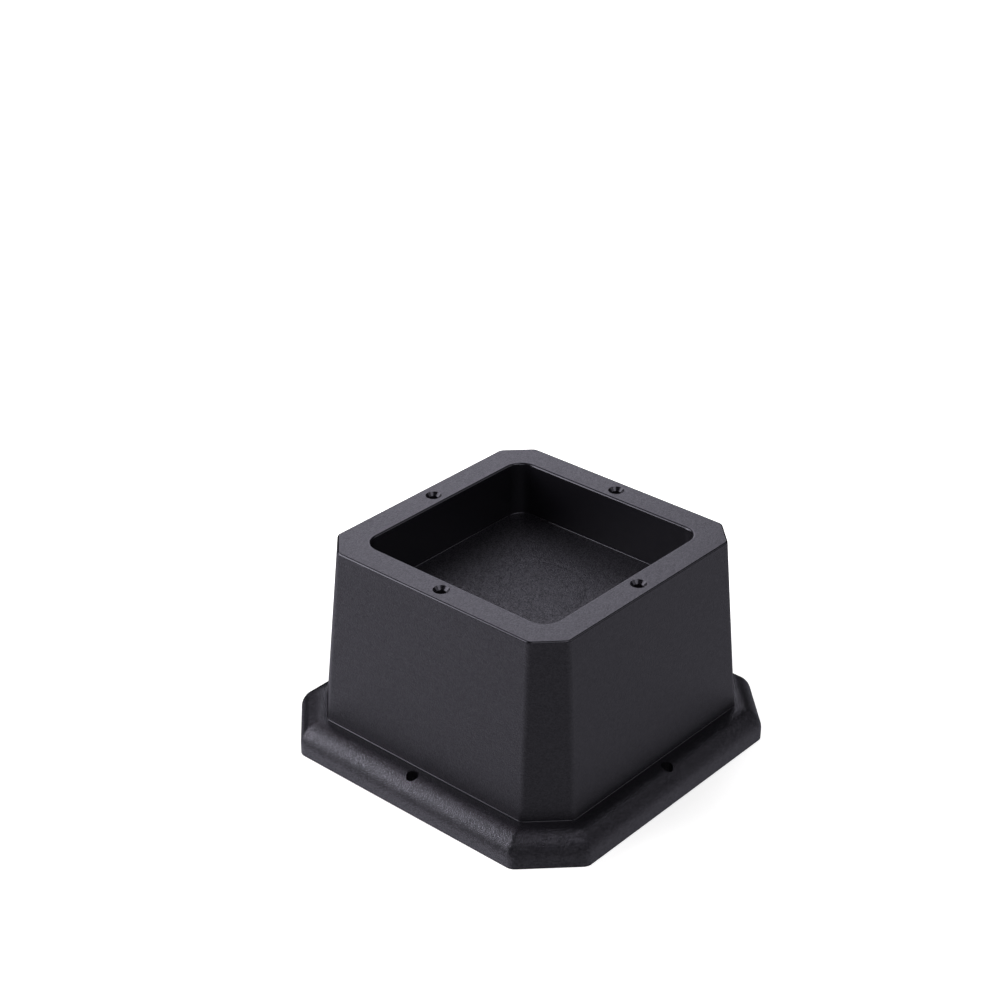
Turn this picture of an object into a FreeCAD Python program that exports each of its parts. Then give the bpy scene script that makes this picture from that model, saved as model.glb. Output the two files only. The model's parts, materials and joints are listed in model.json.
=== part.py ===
import FreeCAD, Part
import os
import Sketcher

# A square bed riser, moulded in one piece: a tapered block with cut corners on a rounded, spreading foot,
# a square recess in its top for the bed's leg, and a hollow underside with a ring and four ribs.
# The origin is at the middle of the underside, and +Z is up.

# Driving dimensions, in millimetres and degrees
DIMENSIONS = (
    ("overall_height", 76.0, "floor to rim"),
    ("top_width", 101.1, "rim, across its flat sides"),
    ("corner_cut", 9.0, "leg of the rim's cut corner"),
    ("wall", 3.0, "moulded wall everywhere"),
    ("base_width", 130.8, "foot, across its flat sides"),
    ("foot_ledge", 9.4, "foot's side to where the wall meets the foot"),
    ("foot_height", 11.5, "floor to where the wall meets the foot"),
    ("foot_round", 7.75, "quarter round over the foot's edge"),
    ("foot_corner_radius", 4.0, "softened corners of the foot"),
    ("wall_corner_radius", 3.0, "softened corners of the wall"),
    ("seam_radius", 0.3, "fillet where the wall meets the foot"),
    ("rim_edge_radius", 0.7, "outer edge of the rim"),
    ("rim_width", 10.6, "rim, from its outer edge to the leg recess"),
    ("recess_corner_radius", 6.2, "upright corners of the recess"),
    ("recess_depth", 20.0, "rim to recess floor"),
    ("recess_draft", 1.0, "lean of the recess walls"),
    ("recess_floor_radius", 0.4, "fillet round the recess floor"),
    ("recess_lip_radius", 0.9, "inner edge of the rim"),
    ("ring_diameter", 38.0, "middle of the ring under the floor"),
    ("ring_wall", 3.0, "thickness of the ring"),
    ("rib_wall", 2.4, "thickness of a corner rib"),
    ("sink_width", 3.0, "shallow sink mark above the ring"),
    ("sink_depth", 0.2, "depth of the sink mark"),
    ("rim_hole_inset", 5.5, "rim's outer edge to the middle of a screw hole"),
    ("rim_hole_diameter", 3.3, "screw clearance in the rim"),
    ("countersink_diameter", 5.6, "countersink at the rim"),
    ("countersink_angle", 90.0, "angle of the countersink"),
    ("foot_hole_inset", 5.4, "foot's side to the middle of a screw hole"),
    ("foot_hole_diameter", 4.3, "screw clearance in the foot"),
    ("screw_block_wall", 2.0, "plastic round a foot screw, below"),
)
SIDES = 4
FULL_TURN = 360
QUARTER_TURN = FULL_TURN / SIDES
EIGHTH_TURN = QUARTER_TURN / 2

# A sketch numbers a line's ends and a circle's centre from 1 up, and its own axes from -1 down
START, END, CENTRE = range(1, 4)
X_AXIS, Y_AXIS = range(-1, -3, -1)
ORIGIN = (X_AXIS, START)

doc = FreeCAD.newDocument("bed_riser")
sheet = doc.addObject("Spreadsheet::Sheet", "dims")
for row, (alias, size, meaning) in enumerate(DIMENSIONS, start=1):
    sheet.set(f"A{row}", meaning)
    sheet.set(f"B{row}", str(size))
    sheet.setAlias(f"B{row}", alias)
body = doc.addObject("PartDesign::Body", "bed_riser")
body.Label = "bed_riser"
doc.recompute()

# Sizes that several features share, as expressions of the sheet
BASE_OFFSET = "(dims.base_width - dims.top_width) / 2"
WALL_SLOPE = f"({BASE_OFFSET} - dims.foot_ledge) / (dims.overall_height - dims.foot_height)"
WALL_DRAFT = f"atan({WALL_SLOPE})"
FOOT_ROUND = "min(dims.foot_round; dims.foot_ledge - dims.seam_radius)"
BRIM_UNDERSIDE = "dims.foot_height - dims.wall"
FLOOR = "dims.overall_height - dims.recess_depth"
FLOOR_MIDDLE = f"{FLOOR} - dims.wall / 2"
RECESS_WIDTH = "dims.top_width - 2 * dims.rim_width"
RIM_HOLE_CIRCLE = "dims.top_width - 2 * dims.rim_hole_inset"
FOOT_HOLE_CIRCLE = "dims.base_width - 2 * dims.foot_hole_inset"
TOLERANCE = 0.01

# Whether each feature should add plastic or take it away, checked at the end
ADDS, TAKES = 1, -1
effects = {}


def number(expression):
    """The value of an expression of the sheet."""
    return float(body.evalExpression(expression))


def wall_offset(height):
    """How far the outer wall stands outside the rim's outline at a height."""
    return f"(dims.overall_height - ({height})) * {WALL_SLOPE}"


def own(role):
    """The body's own origin plane or axis with this role."""
    return next(feature for feature in body.Origin.OriginFeatures if feature.Role == role)


def new_sketch(name, plane, offset="0"):
    """A sketch on one of the body's own planes, moved along the plane's normal."""
    sketch = body.newObject("Sketcher::SketchObject", name)
    sketch.AttachmentSupport = (own(plane), [""])
    sketch.MapMode = "FlatFace"
    sketch.setExpression("AttachmentOffset.Base.z", offset)
    return sketch


def drive(sketch, expression, kind, *geometry):
    """Adds a dimension to a sketch and binds it to the sheet."""
    index = sketch.addConstraint(Sketcher.Constraint(kind, *geometry, number(expression)))
    sketch.setExpression(f"Constraints[{index}]", expression)


def closed_lines(sketch, corners):
    """Draws a closed outline of straight lines through the corners."""
    points = [FreeCAD.Vector(x, y, 0) for x, y in corners]
    for start, end in zip(points, points[1:] + points[:1]):
        sketch.addGeometry(Part.LineSegment(start, end), False)
    for line in range(len(points)):
        following = (line + 1) % len(points)
        sketch.addConstraint(Sketcher.Constraint("Coincident", line, END, following, START))


def drive_sides(sketch, sides, reach):
    """Sets four sides (front, right, back, left) at the same distance from the middle."""
    front, right, back, left = sides
    drive(sketch, reach, "DistanceY", front, START, *ORIGIN)
    drive(sketch, reach, "DistanceX", *ORIGIN, right, START)
    drive(sketch, reach, "DistanceY", *ORIGIN, back, START)
    drive(sketch, reach, "DistanceX", left, START, *ORIGIN)


def octagon(name, height, offset):
    """The rim's outline, a square with cut corners, with all eight sides moved out by an offset."""
    sketch = new_sketch(name, "XY_Plane", height)
    reach = f"dims.top_width / 2 + ({offset})"
    flat = f"dims.top_width - 2 * dims.corner_cut + 2 * tan({EIGHTH_TURN / 2}) * ({offset})"
    a = number(reach)
    b = number(flat) / 2
    closed_lines(sketch, ((-b, -a), (b, -a), (a, -b), (a, b), (b, a), (-b, a), (-a, b), (-a, -b)))
    sides = (0, 2, 4, 6)
    for side, axis in zip(sides, (Y_AXIS, X_AXIS, Y_AXIS, X_AXIS)):
        sketch.addConstraint(Sketcher.Constraint("Symmetric", side, START, side, END, axis))
    for side in sides[1:]:
        sketch.addConstraint(Sketcher.Constraint("Equal", sides[0], side))
    drive_sides(sketch, sides, reach)
    drive(sketch, flat, "DistanceX", sides[0], START, sides[0], END)
    return sketch


def rounded_square(name, height, width, radius):
    """A square with rounded corners about the middle."""
    sketch = new_sketch(name, "XY_Plane", height)
    reach = f"({width}) / 2"
    a = number(reach)
    r = number(radius)
    for side in range(SIDES):
        turn = FreeCAD.Rotation(FreeCAD.Vector(0, 0, 1), QUARTER_TURN * side)
        start = turn.multVec(FreeCAD.Vector(r - a, -a, 0))
        end = turn.multVec(FreeCAD.Vector(a - r, -a, 0))
        middle = turn.multVec(FreeCAD.Vector(a - r, r - a, 0))
        next_start = turn.multVec(FreeCAD.Vector(a, r - a, 0))
        bisector = (end - middle + next_start - middle).normalize()
        sketch.addGeometry(Part.LineSegment(start, end), False)
        sketch.addGeometry(Part.Arc(end, middle + bisector * r, next_start), False)
    count = 2 * SIDES
    for piece in range(count):
        following = (piece + 1) % count
        sketch.addConstraint(Sketcher.Constraint("Tangent", piece, END, following, START))
    sides = (0, 2, 4, 6)
    for side, direction in zip(sides, ("Horizontal", "Vertical", "Horizontal", "Vertical")):
        sketch.addConstraint(Sketcher.Constraint(direction, side))
    for arc in (3, 5, 7):
        sketch.addConstraint(Sketcher.Constraint("Equal", 1, arc))
    drive_sides(sketch, sides, reach)
    drive(sketch, radius, "Radius", 1)
    return sketch


def circle(sketch, diameter, reach="0"):
    """Draws a circle on the sketch's X axis at a distance from its origin."""
    middle = FreeCAD.Vector(number(reach), 0, 0)
    index = sketch.addGeometry(Part.Circle(middle, FreeCAD.Vector(0, 0, 1), number(diameter) / 2), False)
    sketch.addConstraint(Sketcher.Constraint("PointOnObject", index, CENTRE, X_AXIS))
    drive(sketch, reach, "DistanceX", *ORIGIN, index, CENTRE)
    drive(sketch, diameter, "Diameter", index)


def pad(name, sketch, length):
    """Raises a sketch's outline by a length."""
    feature = body.newObject("PartDesign::Pad", name)
    feature.Profile = (sketch, [""])
    feature.setExpression("Length", length)
    effects[name] = ADDS
    return feature


def pocket(name, sketch, depth):
    """Cuts a sketch's outline down to a depth."""
    feature = body.newObject("PartDesign::Pocket", name)
    feature.Profile = (sketch, [""])
    feature.setExpression("Length", depth)
    effects[name] = TAKES
    return feature


def draft(name, angle, neutral_plane, chosen, effect, reverse=False):
    """Leans the chosen faces of the body as it stands about a plane where they keep their place.

    A negative angle leans them the other way, and then they add where they would have taken.
    """
    doc.recompute()
    base = body.Tip
    other_way = number(angle) < 0
    faces = [f"Face{index}" for index, face in enumerate(base.Shape.Faces, start=1) if chosen(face)]
    feature = body.newObject("PartDesign::Draft", name)
    feature.Base = (base, faces)
    feature.NeutralPlane = neutral_plane
    feature.setExpression("Angle", f"abs({angle})")
    feature.Reversed = reverse != other_way
    effects[name] = -effect if other_way else effect
    return feature


def around(name, feature):
    """Repeats a feature on all four sides."""
    pattern = body.newObject("PartDesign::PolarPattern", name)
    pattern.Originals = [feature]
    pattern.Axis = (own("Z_Axis"), [""])
    pattern.Angle = FULL_TURN
    pattern.Occurrences = SIDES
    body.Tip = pattern
    return pattern


def offset_of(point):
    """How far a point stands outside the rim's octagon, seen from above."""
    across = max(abs(point.x), abs(point.y)) - number("dims.top_width / 2")
    diagonal = (abs(point.x) + abs(point.y) - number("dims.top_width - dims.corner_cut")) / 2 ** 0.5
    return max(across, diagonal)


def between(shape, low, high):
    """Whether an edge or face runs exactly from one height to another."""
    box = shape.BoundBox
    return abs(box.ZMin - number(low)) < TOLERANCE and abs(box.ZMax - number(high)) < TOLERANCE


def level_face(feature, height):
    """A feature with its flat face at a height, as the still plane of a draft."""
    doc.recompute()
    faces = enumerate(feature.Shape.Faces, start=1)
    return feature, [next(f"Face{index}" for index, face in faces if between(face, height, height))]


def on_outline(edge, offset, slack):
    """Whether an edge lies along the rim's octagon moved out by an offset, less a corner's rounding."""
    middle = edge.valueAt((edge.FirstParameter + edge.LastParameter) / 2)
    return abs(offset_of(middle) - number(offset)) < slack


def fillet(name, radius, chosen):
    """Rounds the chosen edges of the body as it stands."""
    doc.recompute()
    base = body.Tip
    edges = [f"Edge{index}" for index, edge in enumerate(base.Shape.Edges, start=1) if chosen(edge)]
    feature = body.newObject("PartDesign::Fillet", name)
    feature.Base = (base, edges)
    feature.setExpression("Radius", radius)
    return feature


# Outer form: the tapered block and the foot it stands on
GROUND = (own("XY_Plane"), [""])
WALL_FOOT = wall_offset("0")
pad("block", octagon("block_outline", "0", WALL_FOOT), "dims.overall_height")
draft("block_walls", WALL_DRAFT, GROUND, lambda face: between(face, "0", "dims.overall_height"), TAKES)
pad("foot", octagon("foot_outline", "0", BASE_OFFSET), "dims.foot_height")

SHOULDER_START = f"dims.foot_height - {FOOT_ROUND}"
SEAM_OFFSET = wall_offset("dims.foot_height")
fillet(
    "foot_shoulder",
    FOOT_ROUND,
    lambda edge: between(edge, "dims.foot_height", "dims.foot_height")
    and on_outline(edge, BASE_OFFSET, TOLERANCE),
)
fillet("foot_corners", "dims.foot_corner_radius", lambda edge: between(edge, "0", SHOULDER_START))
fillet(
    "wall_corners",
    "dims.wall_corner_radius",
    lambda edge: between(edge, "dims.foot_height", "dims.overall_height"),
)
fillet(
    "seam",
    "dims.seam_radius",
    lambda edge: between(edge, "dims.foot_height", "dims.foot_height")
    and on_outline(edge, SEAM_OFFSET, number("dims.wall_corner_radius") / SIDES / 2),
)
fillet(
    "rim_edge",
    "dims.rim_edge_radius",
    lambda edge: between(edge, "dims.overall_height", "dims.overall_height"),
)

# Hollow underside, one wall thick: the core of the block, then the widening inside the foot
DECK_UNDERSIDE = "dims.overall_height - dims.wall"
core = pocket(
    "core",
    octagon("core_outline", "0", f"{wall_offset(DECK_UNDERSIDE)} - dims.wall"),
    DECK_UNDERSIDE,
)
core.Reversed = True
draft(
    "core_walls",
    WALL_DRAFT,
    level_face(core, DECK_UNDERSIDE),
    lambda face: between(face, "0", DECK_UNDERSIDE),
    TAKES,
    reverse=True,
)
BRIM_OFFSET = f"{BASE_OFFSET} - dims.wall"
brim = pocket("brim_hollow", octagon("brim_outline", "0", BRIM_OFFSET), BRIM_UNDERSIDE)
brim.Reversed = True
fillet(
    "brim_round",
    f"{FOOT_ROUND} - dims.wall",
    lambda edge: between(edge, BRIM_UNDERSIDE, BRIM_UNDERSIDE) and on_outline(edge, BRIM_OFFSET, TOLERANCE),
)

# Leg recess: a tub hung from the rim, then its inside
TUB_UNDERSIDE = f"{FLOOR} - dims.wall"
pad(
    "tub",
    rounded_square(
        "tub_outline",
        TUB_UNDERSIDE,
        f"{RECESS_WIDTH} + 2 * dims.wall",
        "dims.recess_corner_radius + dims.wall",
    ),
    "dims.recess_depth + dims.wall / 2",
)
recess = pocket(
    "leg_recess",
    rounded_square("recess_outline", "dims.overall_height", RECESS_WIDTH, "dims.recess_corner_radius"),
    "dims.recess_depth",
)
draft(
    "recess_walls",
    "dims.recess_draft",
    level_face(recess, "dims.overall_height"),
    lambda face: between(face, FLOOR, "dims.overall_height"),
    ADDS,
)
fillet("recess_floor_edge", "dims.recess_floor_radius", lambda edge: between(edge, FLOOR, FLOOR))
fillet(
    "recess_lip",
    "dims.recess_lip_radius",
    lambda edge: between(edge, "dims.overall_height", "dims.overall_height")
    and offset_of(edge.CenterOfMass) < number("-dims.rim_width / 2"),
)

# Ring under the middle of the recess floor, down to the ground
ring_outline = new_sketch("ring_outline", "XY_Plane")
circle(ring_outline, "dims.ring_diameter + dims.ring_wall")
circle(ring_outline, "dims.ring_diameter - dims.ring_wall")
pad("ring", ring_outline, FLOOR_MIDDLE)


def rib_outline():
    """A rib's side view, from the middle of the ring's wall to the middle of the cut corner's wall."""
    sketch = new_sketch("rib_outline", "XZ_Plane")
    sketch.AttachmentOffset = FreeCAD.Placement(
        FreeCAD.Vector(0, 0, 0), FreeCAD.Rotation(FreeCAD.Vector(0, 1, 0), EIGHTH_TURN)
    )
    corner = "(dims.top_width - dims.corner_cut) / sqrt(2) - dims.wall / 2"
    inner = "dims.ring_diameter / 2"
    seam_height = "dims.foot_height - dims.wall / 2"
    foot = f"{corner} + {wall_offset(seam_height)}"
    top = f"{corner} + {wall_offset(FLOOR_MIDDLE)}"
    low, high = number(seam_height), number(FLOOR_MIDDLE)
    closed_lines(
        sketch,
        (
            (number(inner), 0),
            (number(foot), 0),
            (number(foot), low),
            (number(top), high),
            (number(inner), high),
        ),
    )
    ground, outer, slope, upper, end = range(5)
    for line in (ground, upper):
        sketch.addConstraint(Sketcher.Constraint("Horizontal", line))
    for line in (outer, end):
        sketch.addConstraint(Sketcher.Constraint("Vertical", line))
    sketch.addConstraint(Sketcher.Constraint("PointOnObject", ground, START, X_AXIS))
    drive(sketch, inner, "DistanceX", *ORIGIN, ground, START)
    drive(sketch, foot, "DistanceX", *ORIGIN, ground, END)
    drive(sketch, seam_height, "DistanceY", outer, START, outer, END)
    drive(sketch, top, "DistanceX", *ORIGIN, slope, END)
    drive(sketch, FLOOR_MIDDLE, "DistanceY", end, END, end, START)
    return sketch


rib = pad("rib", rib_outline(), "dims.rib_wall")
rib.SideType = "Symmetric"
around("ribs", rib)


def screw_block_outline():
    """The plastic left round a foot screw, from inside the hole to the skirt of the foot."""
    sketch = new_sketch("screw_block_outline", "XY_Plane")
    inner = f"({FOOT_HOLE_CIRCLE} - dims.foot_hole_diameter) / 2 - dims.screw_block_wall"
    bite = "dims.wall / 4"
    outer = f"dims.base_width / 2 - dims.wall + {bite}"
    half = "dims.foot_hole_diameter / 2 + dims.screw_block_wall"
    x0, x1, y = number(inner), number(outer), number(half)
    closed_lines(sketch, ((x0, -y), (x1, -y), (x1, y), (x0, y)))
    front, outside, back, inside = range(4)
    sketch.addConstraint(Sketcher.Constraint("Symmetric", outside, START, outside, END, X_AXIS))
    sketch.addConstraint(Sketcher.Constraint("Horizontal", front))
    sketch.addConstraint(Sketcher.Constraint("Horizontal", back))
    sketch.addConstraint(Sketcher.Constraint("Vertical", inside))
    drive(sketch, inner, "DistanceX", *ORIGIN, inside, START)
    drive(sketch, outer, "DistanceX", *ORIGIN, outside, START)
    drive(sketch, half, "DistanceY", outside, START, *ORIGIN)
    return sketch


around("screw_blocks", pad("screw_block", screw_block_outline(), BRIM_UNDERSIDE))


def screw_hole(name, height, pitch_circle, diameter):
    """One screw hole straight down on the right-hand side, in its own sketch."""
    sketch = new_sketch(f"{name}_place", "XY_Plane", height)
    circle(sketch, diameter, f"({pitch_circle}) / 2")
    doc.recompute()
    hole = body.newObject("PartDesign::Hole", name)
    hole.Profile = (sketch, [""])
    hole.ThreadType = "None"
    hole.DrillPoint = "Flat"
    hole.setExpression("Diameter", diameter)
    effects[name] = TAKES
    return hole


rim_hole = screw_hole("rim_hole", "dims.overall_height", RIM_HOLE_CIRCLE, "dims.rim_hole_diameter")
rim_hole.DepthType = "Dimension"
rim_hole.setExpression("Depth", "2 * dims.wall")
rim_hole.HoleCutType = "Countersink"
rim_hole.HoleCutCustomValues = True
rim_hole.setExpression("HoleCutDiameter", "dims.countersink_diameter")
rim_hole.setExpression("HoleCutCountersinkAngle", "dims.countersink_angle")
around("rim_holes", rim_hole)

foot_hole = screw_hole("foot_hole", "dims.foot_height", FOOT_HOLE_CIRCLE, "dims.foot_hole_diameter")
foot_hole.DepthType = "ThroughAll"
around("foot_holes", foot_hole)


def sink_outline():
    """The section of the shallow mark that the ring leaves in the recess floor: an arc and its chord."""
    sketch = new_sketch("sink_outline", "XZ_Plane")
    inner = "(dims.ring_diameter - dims.sink_width) / 2"
    outer = "(dims.ring_diameter + dims.sink_width) / 2"
    height = number(FLOOR)
    left = FreeCAD.Vector(number(inner), height, 0)
    right = FreeCAD.Vector(number(outer), height, 0)
    lowest = FreeCAD.Vector(number("dims.ring_diameter / 2"), height - number("dims.sink_depth"), 0)
    arc = sketch.addGeometry(Part.Arc(left, lowest, right), False)
    chord = sketch.addGeometry(Part.LineSegment(right, left), False)
    sketch.addConstraint(Sketcher.Constraint("Coincident", arc, END, chord, START))
    sketch.addConstraint(Sketcher.Constraint("Coincident", arc, START, chord, END))
    sketch.addConstraint(Sketcher.Constraint("Horizontal", chord))
    drive(sketch, inner, "DistanceX", *ORIGIN, chord, END)
    drive(sketch, outer, "DistanceX", *ORIGIN, chord, START)
    drive(sketch, FLOOR, "DistanceY", *ORIGIN, chord, START)
    drive(sketch, "(dims.sink_width ^ 2 / 4 + dims.sink_depth ^ 2) / (2 * dims.sink_depth)", "Radius", arc)
    return sketch


sink = body.newObject("PartDesign::Groove", "sink_mark")
sink.Profile = (sink_outline(), [""])
sink.ReferenceAxis = (own("Z_Axis"), [""])
sink.Angle = FULL_TURN
effects[sink.Name] = TAKES
body.Tip = sink
doc.recompute()

# Nothing is written unless every object is sound and every feature added or took plastic as it should
for item in doc.Objects:
    if "Invalid" in item.State or "Error" in item.State:
        raise RuntimeError(f"{item.Name} failed: {item.getStatusString()}")
volume = 0.0
for feature in body.Group:
    if not feature.isDerivedFrom("PartDesign::Feature"):
        continue
    change = feature.Shape.Volume - volume
    if change * effects.get(feature.Name, 0) < 0 or abs(change) < TOLERANCE:
        raise RuntimeError(f"{feature.Name} changed the volume by {change:.1f} mm3")
    volume = feature.Shape.Volume
if body.Shape.isNull() or not body.Shape.isValid() or len(body.Shape.Solids) != 1:
    raise RuntimeError("the riser is not one sound solid")

os.makedirs("parts", exist_ok=True)
body.Shape.exportStep(f"parts/{body.Label}.step")
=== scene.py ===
import json
import math

import bpy
import numpy as np
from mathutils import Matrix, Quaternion, Vector


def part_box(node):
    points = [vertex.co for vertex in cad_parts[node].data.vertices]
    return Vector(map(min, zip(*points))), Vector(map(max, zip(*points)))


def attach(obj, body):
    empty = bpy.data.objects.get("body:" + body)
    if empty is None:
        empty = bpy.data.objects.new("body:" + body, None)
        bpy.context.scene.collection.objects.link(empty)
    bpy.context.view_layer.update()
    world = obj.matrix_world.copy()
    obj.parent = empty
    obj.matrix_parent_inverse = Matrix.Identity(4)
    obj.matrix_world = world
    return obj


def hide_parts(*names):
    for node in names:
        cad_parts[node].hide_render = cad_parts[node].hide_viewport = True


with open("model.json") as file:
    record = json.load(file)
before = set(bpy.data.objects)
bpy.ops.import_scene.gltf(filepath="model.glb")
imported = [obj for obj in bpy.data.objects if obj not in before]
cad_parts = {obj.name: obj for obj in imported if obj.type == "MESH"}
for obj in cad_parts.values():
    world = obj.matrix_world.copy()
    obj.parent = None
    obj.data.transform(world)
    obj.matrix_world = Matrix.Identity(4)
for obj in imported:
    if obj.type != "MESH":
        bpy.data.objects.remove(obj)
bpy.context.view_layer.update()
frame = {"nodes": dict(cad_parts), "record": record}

# One black moulded bed riser on a pale floor, in soft studio light.
# Lengths are in metres, in the part's own frame: +Z up, the origin at the middle of its underside.
riser = frame["nodes"]["bed_riser"]
mounts = {mount["name"]: mount for mount in frame["record"]["mounts"]}
scene = bpy.context.scene
MM = 0.001

# Levels of the riser and the reach of its foot, from the frame
RIM_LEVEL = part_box("bed_riser")[1][2]
RECESS_LEVEL = mounts["leg_seat"]["pos_m"][2]
FOOT_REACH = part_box("bed_riser")[1][0]

# The viewing angle and framing of the photograph, with the lens and sensor in millimetres
CAMERA_EYE = Vector((-0.4815, -0.4053, 0.4326))
CAMERA_AZIMUTH = math.radians(-48.92)
CAMERA_ELEVATION = math.radians(28.54)
CAMERA_ROLL = math.radians(0.29)
CAMERA_LENS = 77.74
CAMERA_SENSOR_WIDTH = 36.0
CAMERA_CLIP_START = 10 * MM

# Black plastic: colour, gloss and the size and depth of its moulded grain
PLASTIC_COLOUR = (0.0070, 0.0066, 0.0076, 1.0)
PLASTIC_IOR = 1.5
GRAIN_SIZE = 0.4 * MM
GRAIN_DEPTH = 0.11 * MM
REFLECTION = 0.5

# Each finish: how deep its grain is, how rough it is and how much its reflection varies with the grain
FINISHES = {
    "walls": {"grain": 0.8, "roughness": 0.36, "speckle": 0.2},
    "foot": {"grain": 1.0, "roughness": 0.27, "speckle": 0.5},
    "rim": {"grain": 0.4, "roughness": 0.34, "speckle": 0.35},
    "recess floor": {"grain": 1.0, "roughness": 0.42, "speckle": 0.7},
    "edges": {"grain": 0.0, "roughness": 0.20, "speckle": 0.0},
    "plain": {"grain": 0.0, "roughness": 0.30, "speckle": 0.0},
}

# Soft studio light: the azimuths of the sides it comes from, in degrees, and the glow of the room
LIGHT_COLOUR = (0.98, 0.95, 1.12)
LIGHT_DISTANCE = 1.2
KEY_SIDE = 221
FAR_SIDE = 131
RIGHT_SIDE = 41
NEAR_SIDE = -49
ROOM_GLOW = 0.01

# Soft boxes: azimuth and elevation in degrees, radiance, and the width of the one that isn't square
SOFT_BOX_SIZE = 0.6
SOFT_BOXES = {
    "key": {"azimuth": KEY_SIDE, "elevation": 12, "radiance": 5.6},
    "upper_key": {"azimuth": 215, "elevation": 35, "radiance": 3.4, "width": 2 * SOFT_BOX_SIZE},
    "back": {"azimuth": FAR_SIDE, "elevation": 32, "radiance": 1.54},
    "back_left": {"azimuth": 142, "elevation": 35, "radiance": 0.5},
    "upper_back": {"azimuth": FAR_SIDE, "elevation": 60, "radiance": 1.1},
    "right": {"azimuth": RIGHT_SIDE, "elevation": 35, "radiance": 0.92},
    "near": {"azimuth": NEAR_SIDE, "elevation": 35, "radiance": 1.33},
    "top": {"azimuth": -4, "elevation": 60, "radiance": 2.43},
}

# The white floor's glow on each side, and the heights of the light's direction between which it fades in
FLOOR_GLOWS = {
    KEY_SIDE: {"strength": 1.75, "top": -0.25, "bottom": -0.7},
    RIGHT_SIDE: {"strength": 0.50, "top": 0.15, "bottom": -0.15},
    NEAR_SIDE: {"strength": 0.36, "top": 0.15, "bottom": -0.15},
}

# The floor itself: its size and finish, and its own glow, which is lowered round the riser as painted
# shade
FLOOR_WIDTH = 12.0
FLOOR_DROP = 0.02 * MM
FLOOR_COLOUR = (0.88, 0.90, 0.77, 1.0)
FLOOR_ROUGHNESS = 1.0
FLOOR_REFLECTION = 0.0
FLOOR_GLOW_COLOUR = (1.0, 1.0, 1.0, 1.0)
# Painted shade: the floor's glow at the riser's foot, lower than its glow far away
FLOOR_GLOW_IN_PAINTED_SHADE = 0.62
FLOOR_GLOW_FAR = 1.0
# Painted shade: how far out from the foot the floor's glow takes to rise to full white
FLOOR_PAINTED_SHADE_REACH = 45 * MM

# Limits that join the riser's facets, tell flat faces from round ones and sort them by finish
WELD_DISTANCE = 0.001 * MM
SMOOTH_ANGLE = math.radians(35)
FLAT_LIMIT = math.radians(0.6)
EDGE_RADIUS = 1 * MM
LEVEL_LIMIT = 0.1 * MM


def direction(azimuth, elevation):
    """A unit vector from the riser; azimuth 0 is towards -Y and a quarter turn is towards +X."""
    return Vector((
        math.sin(azimuth) * math.cos(elevation),
        -math.cos(azimuth) * math.cos(elevation),
        math.sin(elevation),
    ))


def feed(tree, socket, value):
    """Gives a node's input a number, a colour or another node's output."""
    if isinstance(value, bpy.types.NodeSocket):
        tree.links.new(value, socket)
    else:
        socket.default_value = value


def add_node(tree, kind, settings=None, **inputs):
    """Adds a shader node, with its inputs named with _ for a space."""
    node = tree.nodes.new(kind)
    for name, value in (settings or {}).items():
        setattr(node, name, value)
    for name, value in inputs.items():
        feed(tree, node.inputs[name.replace("_", " ")], value)
    return node


def add_maths(tree, kind, settings, *values):
    """Adds a maths node, with its inputs in order, and gives its result."""
    node = add_node(tree, kind, settings)
    for socket, value in zip(node.inputs, values):
        feed(tree, socket, value)
    return node.outputs["Value"]


def new_material(name):
    """A material with an empty node tree and its output node."""
    material = bpy.data.materials.new(name)
    material.use_nodes = True
    material.node_tree.nodes.clear()
    output = material.node_tree.nodes.new("ShaderNodeOutputMaterial")
    return material, material.node_tree, output


def black_plastic():
    """Moulded black plastic with a fine grain."""
    material, tree, output = new_material("black_plastic_finish")
    place = add_node(tree, "ShaderNodeTexCoord").outputs["Object"]
    pebbles = add_node(tree, "ShaderNodeTexVoronoi", Vector=place, Scale=1 / GRAIN_SIZE)
    chance = add_node(tree, "ShaderNodeSeparateColor", Color=pebbles.outputs["Color"]).outputs["Red"]
    strength = add_node(tree, "ShaderNodeAttribute", {"attribute_name": "grain"}).outputs["Fac"]
    roughness = add_node(tree, "ShaderNodeAttribute", {"attribute_name": "roughness"}).outputs["Fac"]
    speckle = add_node(tree, "ShaderNodeAttribute", {"attribute_name": "speckle"}).outputs["Fac"]
    centred = add_node(
        tree,
        "ShaderNodeMapRange",
        Value=chance,
        To_Min=-REFLECTION,
        To_Max=REFLECTION,
    ).outputs["Result"]
    reflection = add_maths(
        tree,
        "ShaderNodeMath",
        {"operation": "MULTIPLY_ADD"},
        centred,
        speckle,
        REFLECTION,
    )
    bump = add_node(
        tree,
        "ShaderNodeBump",
        {"invert": True},
        Height=pebbles.outputs["Distance"],
        Strength=strength,
        Distance=GRAIN_DEPTH,
    )
    shader = add_node(
        tree,
        "ShaderNodeBsdfPrincipled",
        Base_Color=PLASTIC_COLOUR,
        Roughness=roughness,
        IOR=PLASTIC_IOR,
        Specular_IOR_Level=reflection,
        Normal=bump.outputs["Normal"],
    )
    tree.links.new(shader.outputs["BSDF"], output.inputs["Surface"])
    return material


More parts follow.
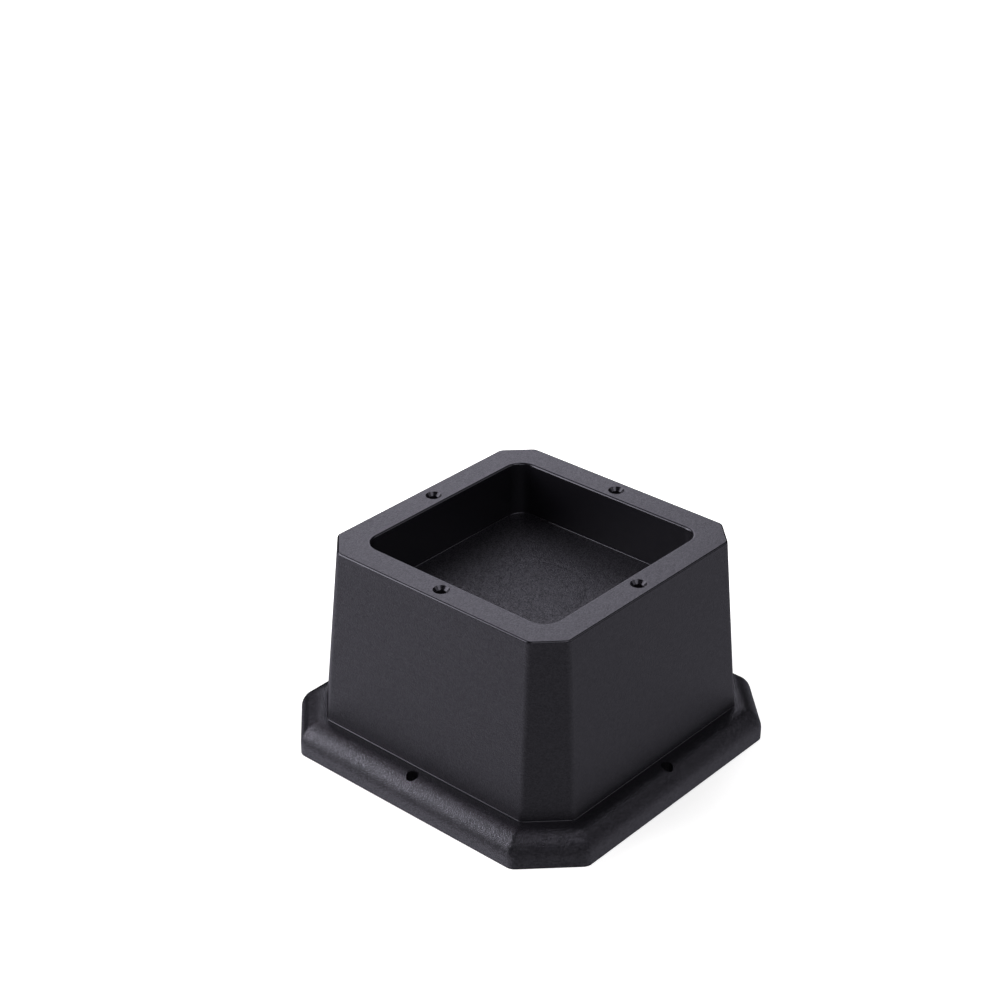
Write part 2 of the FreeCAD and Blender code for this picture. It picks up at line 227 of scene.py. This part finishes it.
def pale_floor():
    """A plain white floor with a faint shadow round the riser, partly cast by the lamps and partly painted
    shade from a glow that is lower near the riser, and white out to the horizon.
    """
    material, tree, output = new_material("pale_floor")
    place = add_node(tree, "ShaderNodeTexCoord").outputs["Object"]
    distance = add_maths(tree, "ShaderNodeVectorMath", {"operation": "LENGTH"}, place)
    # Painted shade: the glow rises from its low value at the riser's foot to full white over the shade's
    # reach
    glow = add_node(
        tree,
        "ShaderNodeMapRange",
        Value=distance,
        From_Min=FOOT_REACH,
        From_Max=FOOT_REACH + FLOOR_PAINTED_SHADE_REACH,
        To_Min=FLOOR_GLOW_IN_PAINTED_SHADE,
        To_Max=FLOOR_GLOW_FAR,
    )
    shader = add_node(
        tree,
        "ShaderNodeBsdfPrincipled",
        Base_Color=FLOOR_COLOUR,
        Roughness=FLOOR_ROUGHNESS,
        Specular_IOR_Level=FLOOR_REFLECTION,
        Emission_Color=FLOOR_GLOW_COLOUR,
        Emission_Strength=glow.outputs["Result"],
    )
    tree.links.new(shader.outputs["BSDF"], output.inputs["Surface"])
    return material


def triangles_of(mesh):
    """The mesh's vertices and its triangles' corners, as arrays."""
    places = np.zeros(3 * len(mesh.vertices), np.float32)
    mesh.vertices.foreach_get("co", places)
    corners = np.zeros(len(mesh.loops), np.int32)
    mesh.loops.foreach_get("vertex_index", corners)
    return places.reshape(-1, 3).astype(float), corners.reshape(-1, 3)


def unit(vectors):
    """The vectors at length one."""
    return vectors / np.linalg.norm(vectors, axis=-1, keepdims=True)


def joined(places):
    """Vertices merged where they share a place, and each old vertex's new number."""
    steps = np.round(places / WELD_DISTANCE)
    _, first, numbers = np.unique(steps, axis=0, return_index=True, return_inverse=True)
    return places[first], numbers.reshape(-1)


def patch_numbers(places, triangles):
    """Each triangle's patch: the facets of one moulded face share vertices with no other face."""
    patch = np.arange(len(places))
    while True:
        spread = patch.copy()
        np.minimum.at(spread, triangles, patch[triangles].min(axis=1)[:, None])
        if (spread == patch).all():
            return patch[triangles[:, 0]]
        patch = spread


def fitted_normals(points, facets):
    """Exact normals at the corners of a flat or round patch and its radius, or None for any other patch.

    points holds the patch's triangles' corners, and facets the triangles' normals.
    """
    middle = unit(facets.sum(axis=0))
    if (facets @ middle).min() > math.cos(FLAT_LIMIT):
        return np.broadcast_to(middle, points.shape), math.inf
    across = np.linalg.svd(facets, full_matrices=False)[2]
    if np.abs(facets @ across[2]).max() > math.sin(FLAT_LIMIT):
        return None
    flat = points.reshape(-1, 3) @ across[:2].T
    equations = np.column_stack([2 * flat, np.ones(len(flat))])
    centre = np.linalg.lstsq(equations, (flat ** 2).sum(axis=1), rcond=None)[0][:2]
    outward = unit(flat - centre) @ across[:2]
    side = np.sign((outward @ middle).sum())
    radius = np.linalg.norm(flat - centre, axis=1).mean()
    return side * outward.reshape(points.shape), radius


def surface_normals(places, triangles, numbers):
    """Normals at every triangle's corners, and the radius that each triangle is bent to.

    Normals are fitted on flat and round patches, and matched to those elsewhere. A flat patch, and
    one that isn't fitted, has an endless radius.
    """
    points = places[triangles]
    crossed = np.cross(points[:, 1] - points[:, 0], points[:, 2] - points[:, 0])
    facets = unit(crossed)
    patches = patch_numbers(places, triangles)
    normals = np.zeros(points.shape)
    radii = np.full(len(points), math.inf)
    exact = {}
    loose = []
    for patch in np.unique(patches):
        inside = np.flatnonzero(patches == patch)
        fitted = fitted_normals(points[inside], facets[inside])
        if fitted is None:
            loose.extend(inside)
            continue
        normals[inside], radii[inside] = fitted
        for vertex, normal in zip(numbers[triangles[inside]].ravel(), normals[inside].reshape(-1, 3)):
            exact.setdefault(vertex, []).append(normal)
    around = {}
    for triangle in loose:
        for vertex in numbers[triangles[triangle]]:
            around.setdefault(vertex, []).append(crossed[triangle])
    for triangle in loose:
        for corner, vertex in enumerate(numbers[triangles[triangle]]):
            known = [n for n in exact.get(vertex, ()) if n @ facets[triangle] > math.cos(SMOOTH_ANGLE)]
            beside = [n for n in around[vertex] if unit(n) @ facets[triangle] > math.cos(SMOOTH_ANGLE)]
            normals[triangle, corner] = unit(np.sum(known or beside, axis=0))
    return normals, radii


def finish_names(points, normals, radii):
    """The finish of each triangle, from where it lies, which way it faces and how tightly it is bent.

    The foot ends at its ledge, the highest level face in the lower half below the recess.
    """
    middles = points.mean(axis=1)
    heights = middles[:, 2]
    facing = normals.mean(axis=1)
    outward = (middles[:, :2] * facing[:, :2]).sum(axis=1) > 0
    upward = facing[:, 2] > math.cos(SMOOTH_ANGLE)
    level = facing[:, 2] > math.cos(FLAT_LIMIT)
    ledge = heights[level & (heights < RECESS_LEVEL / 2)].max()
    outside = (outward | level) & (facing[:, 2] > -math.sin(FLAT_LIMIT))
    at_rim = heights > RIM_LEVEL - EDGE_RADIUS
    names = np.full(len(points), "plain", dtype=object)
    names[outside] = "walls"
    names[outside & (heights < ledge + LEVEL_LIMIT)] = "foot"
    names[upward & (np.abs(heights - RECESS_LEVEL) < EDGE_RADIUS)] = "recess floor"
    names[at_rim | (radii < EDGE_RADIUS)] = "edges"
    names[at_rim & level] = "rim"
    return names


def dress_riser():
    """A copy of the riser with joined facets and the true normals of its moulded faces, in its plastic."""
    places, triangles = triangles_of(riser.data)
    merged, numbers = joined(places)
    triangles = np.array([corners for corners in triangles if len(set(numbers[corners])) == len(corners)])
    normals, radii = surface_normals(places, triangles, numbers)
    mesh = bpy.data.meshes.new("riser_shell")
    mesh.from_pydata(merged.tolist(), [], numbers[triangles].tolist())
    mesh.polygons.foreach_set("use_smooth", [True] * len(mesh.polygons))
    mesh.normals_split_custom_set(normals.reshape(-1, 3).tolist())
    names = finish_names(places[triangles], normals, radii)
    for quality in ("grain", "roughness", "speckle"):
        values = mesh.attributes.new(quality, "FLOAT", "FACE")
        values.data.foreach_set("value", [FINISHES[name][quality] for name in names])
    mesh.materials.append(black_plastic())
    shell = bpy.data.objects.new("riser_shell", mesh)
    scene.collection.objects.link(shell)
    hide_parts("bed_riser")
    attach(shell, "root")


def add_floor():
    """The floor under the riser, seen directly but left out of its reflections."""
    half = FLOOR_WIDTH / 2
    mesh = bpy.data.meshes.new("floor")
    corners = [(-half, -half), (half, -half), (half, half), (-half, half)]
    mesh.from_pydata([(x, y, -FLOOR_DROP) for x, y in corners], [], [(0, 1, 2, 3)])
    floor = bpy.data.objects.new("floor", mesh)
    scene.collection.objects.link(floor)
    mesh.materials.append(pale_floor())
    floor.visible_glossy = False
    floor.visible_diffuse = False
    floor.visible_shadow = False


def add_soft_box(name, azimuth, elevation, radiance, width=SOFT_BOX_SIZE):
    """A soft box on the dome round the riser, turned to face it."""
    light = bpy.data.lights.new(name, "AREA")
    light.shape = "RECTANGLE"
    light.size = width
    light.size_y = SOFT_BOX_SIZE
    light.color = LIGHT_COLOUR
    light.energy = radiance * math.pi * width * SOFT_BOX_SIZE
    box = bpy.data.objects.new(name, light)
    scene.collection.objects.link(box)
    out = direction(math.radians(azimuth), math.radians(elevation))
    box.location = out * LIGHT_DISTANCE
    box.rotation_mode = "QUATERNION"
    box.rotation_quaternion = (-out).to_track_quat("-Z", "Y")
    box.visible_camera = False


def add_world():
    """A dim room, with the glow of the white floor from below, which differs from side to side."""
    world = bpy.data.worlds.new("studio")
    scene.world = world
    world.use_nodes = True
    tree = world.node_tree
    tree.nodes.clear()
    way = add_node(tree, "ShaderNodeTexCoord").outputs["Generated"]
    height = add_node(tree, "ShaderNodeSeparateXYZ", Vector=way).outputs["Z"]
    glow = ROOM_GLOW
    for side, floor in FLOOR_GLOWS.items():
        below = add_node(
            tree,
            "ShaderNodeMapRange",
            {"interpolation_type": "SMOOTHSTEP"},
            Value=height,
            From_Min=floor["top"],
            From_Max=floor["bottom"],
        ).outputs["Result"]
        reach = direction(math.radians(side), 0) * floor["strength"]
        towards = add_maths(tree, "ShaderNodeVectorMath", {"operation": "DOT_PRODUCT"}, way, reach)
        limited = {"operation": "MULTIPLY", "use_clamp": True}
        lit = add_maths(tree, "ShaderNodeMath", limited, towards, below)
        glow = add_maths(tree, "ShaderNodeMath", {"operation": "ADD"}, lit, glow)
    background = add_node(tree, "ShaderNodeBackground", Color=(*LIGHT_COLOUR, 1.0), Strength=glow)
    output = tree.nodes.new("ShaderNodeOutputWorld")
    tree.links.new(background.outputs["Background"], output.inputs["Surface"])


def add_camera():
    """The camera, at the photograph's viewing angle."""
    data = bpy.data.cameras.new("camera")
    data.sensor_width = CAMERA_SENSOR_WIDTH
    data.lens = CAMERA_LENS
    data.clip_start = CAMERA_CLIP_START
    camera = bpy.data.objects.new("camera", data)
    scene.collection.objects.link(camera)
    camera.location = CAMERA_EYE
    camera.rotation_mode = "QUATERNION"
    looking = (-direction(CAMERA_AZIMUTH, CAMERA_ELEVATION)).to_track_quat("-Z", "Y")
    camera.rotation_quaternion = looking @ Quaternion((0, 0, 1), CAMERA_ROLL)
    scene.camera = camera


dress_riser()
add_floor()
add_world()
for box_name, box_settings in SOFT_BOXES.items():
    add_soft_box(box_name, **box_settings)
add_camera()
scene.view_settings.view_transform = "Standard"
